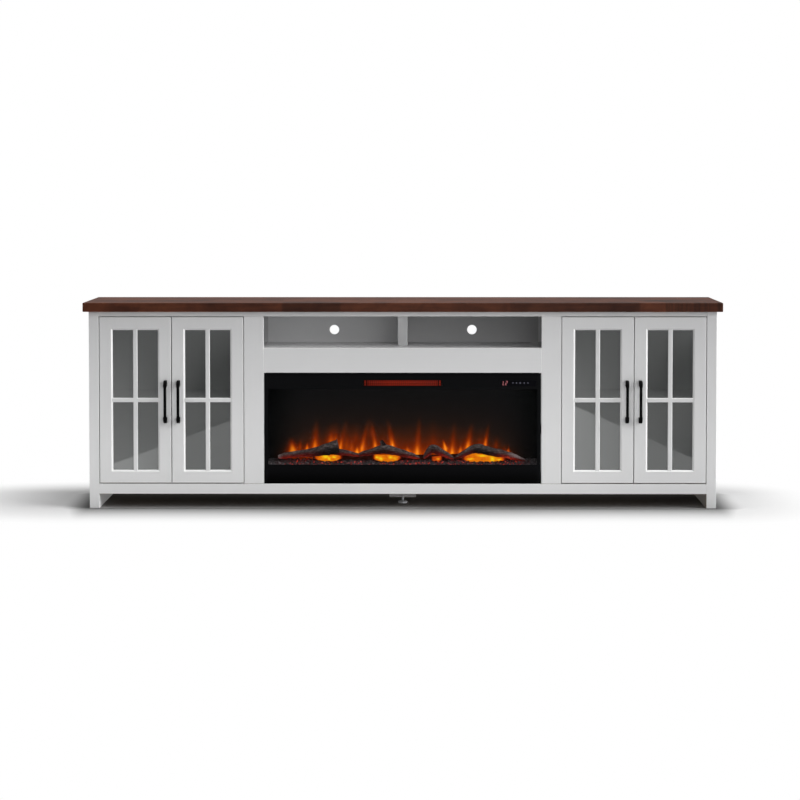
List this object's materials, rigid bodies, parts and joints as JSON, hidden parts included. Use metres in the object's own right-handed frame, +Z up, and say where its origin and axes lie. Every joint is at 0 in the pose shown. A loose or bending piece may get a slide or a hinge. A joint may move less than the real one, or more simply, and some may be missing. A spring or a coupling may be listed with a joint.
{
  "type": "fireplace tv stand",
  "caption": "Long low media cabinet with a thick wooden top, framed glass doors, open cubbies and an electric fire in its centre bay.",
  "frame": {"origin": "on the floor, under the middle of the outline in X and Y (the outline includes the door handles, which stand proud of the top board's front edge)", "axes": "+X to the right of someone who faces the cabinet, +Y from the front towards the wall, +Z up; the doors and the fire face -Y"},
  "size_m": [2.464, 0.467, 0.7965],
  "materials": {
    "white_paint": "satin white paint over wood board",
    "dark_wood": "dark brown stained staves, satin lacquer",
    "black_metal": "black powder coat",
    "steel": "bright zinc",
    "door_glass": "clear float glass",
    "fire_glass": "smoked toughened glass",
    "black_plastic": "moulded black plastic",
    "hot_element": "glowing heater fins",
    "flame_screen": "translucent screen that shows the flames",
    "log_resin": "painted resin logs and coals, lit from below"
  },
  "bodies": {
    "cabinet": {"top_board": "dark_wood", "sub_top": "white_paint", "bottom_rail": "white_paint", "floor_board": "white_paint", "header_rail": "white_paint", "left_corner_post": "white_paint", "right_corner_post": "white_paint", "left_end_panel": "white_paint", "right_end_panel": "white_paint", "left_stile": "white_paint", "right_stile": "white_paint", "left_partition": "white_paint", "right_partition": "white_paint", "left_back_panel": "white_paint", "right_back_panel": "white_paint", "left_shelf": "white_paint", "right_shelf": "white_paint", "left_door_catch": "steel", "right_door_catch": "steel", "cubby_shelf": "white_paint", "cubby_divider": "white_paint", "cubby_back": "white_paint", "centre_support": "white_paint", "left_outer_door_bottom_pivot": "steel", "left_outer_door_top_pivot": "steel", "left_inner_door_bottom_pivot": "steel", "left_inner_door_top_pivot": "steel", "right_inner_door_bottom_pivot": "steel", "right_inner_door_top_pivot": "steel", "right_outer_door_bottom_pivot": "steel", "right_outer_door_top_pivot": "steel", "fire_front_plate": "black_metal", "fire_window_glass": "fire_glass", "heater_grille": "black_metal", "control_panel": "black_plastic", "fire_casing": "black_metal", "power_inlet": "black_plastic", "heater_duct": "steel", "heating_element": "hot_element", "flame_screen": "flame_screen", "log_and_ember_bed": "log_resin"},
    "left_outer_door": {"left_outer_door_frame": "white_paint", "left_outer_door_muntins": "white_paint", "left_outer_door_glass": "door_glass", "left_outer_door_handle": "black_metal"},
    "left_inner_door": {"left_inner_door_frame": "white_paint", "left_inner_door_muntins": "white_paint", "left_inner_door_glass": "door_glass", "left_inner_door_handle": "black_metal"},
    "right_inner_door": {"right_inner_door_frame": "white_paint", "right_inner_door_muntins": "white_paint", "right_inner_door_glass": "door_glass", "right_inner_door_handle": "black_metal"},
    "right_outer_door": {"right_outer_door_frame": "white_paint", "right_outer_door_muntins": "white_paint", "right_outer_door_glass": "door_glass", "right_outer_door_handle": "black_metal"},
    "leveller": {"centre_leveller": "steel"},
    "blower": {"blower_wheel": "black_plastic"},
    "flame_rotor": {"flame_rotor": "steel"}
  },
  "joints": [
    {"name": "left_outer_door_hinge", "type": "hinge", "parent": "cabinet", "child": "left_outer_door", "pos_m": [-1.1635, -0.1965, 0.41925], "axis": [0, 0, -1], "range_deg": [0, 105]},
    {"name": "left_inner_door_hinge", "type": "hinge", "parent": "cabinet", "child": "left_inner_door", "pos_m": [-0.6215, -0.1965, 0.41925], "axis": [0, 0, 1], "range_deg": [0, 105]},
    {"name": "right_inner_door_hinge", "type": "hinge", "parent": "cabinet", "child": "right_inner_door", "pos_m": [0.6215, -0.1965, 0.41925], "axis": [0, 0, -1], "range_deg": [0, 105]},
    {"name": "right_outer_door_hinge", "type": "hinge", "parent": "cabinet", "child": "right_outer_door", "pos_m": [1.1635, -0.1965, 0.41925], "axis": [0, 0, 1], "range_deg": [0, 105]},
    {"name": "leveller_screw", "type": "slide", "parent": "cabinet", "child": "leveller", "axis": [0, 0, 1], "range_m": [0, 0.012]},
    {"name": "blower_spin", "type": "hinge", "parent": "cabinet", "child": "blower", "pos_m": [0, -0.1255, 0.495], "axis": [1, 0, 0], "continuous": true},
    {"name": "flame_rotor_spin", "type": "hinge", "parent": "cabinet", "child": "flame_rotor", "pos_m": [0, -0.0795, 0.215], "axis": [1, 0, 0], "continuous": true}
  ]
}
